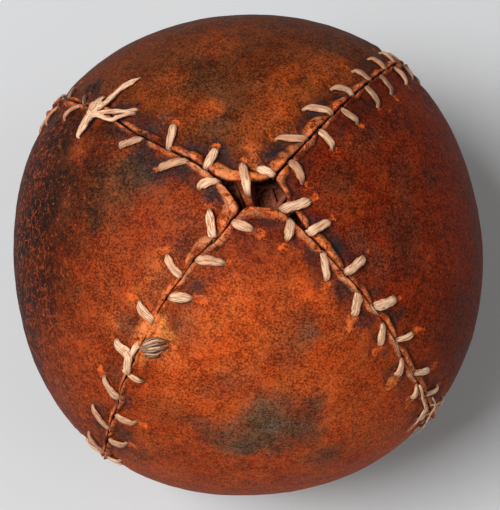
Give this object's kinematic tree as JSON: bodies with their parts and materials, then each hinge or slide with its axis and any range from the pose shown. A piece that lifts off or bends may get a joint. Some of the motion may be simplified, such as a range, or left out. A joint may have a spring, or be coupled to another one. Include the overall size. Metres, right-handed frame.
{
  "type": "lemon peel baseball",
  "caption": "Hand-sewn lemon peel ball: a one-piece leather cover with four petals, stitched in an X over a wound core with a rubber centre.",
  "frame": {"origin": "centre of the ball", "axes": "+Z through the crossing of the X seam, -Z through the flat it rests on, -Y towards the picture's camera"},
  "size_m": [0.07, 0.07, 0.0709],
  "materials": {
    "rubber": "matt",
    "wool": "matt",
    "twine": "matt",
    "leather": "worn satin",
    "thread": "waxed, worn"
  },
  "bodies": {
    "root": {"rubber_core": "rubber", "wool_winding": "wool", "twine_winding": "twine", "leather_cover": "leather", "north_thread": "thread", "south_thread": "thread", "nw_lower_thread": "thread", "se_lower_thread": "thread", "nw_knot": "thread"}
  },
  "joints": []
}
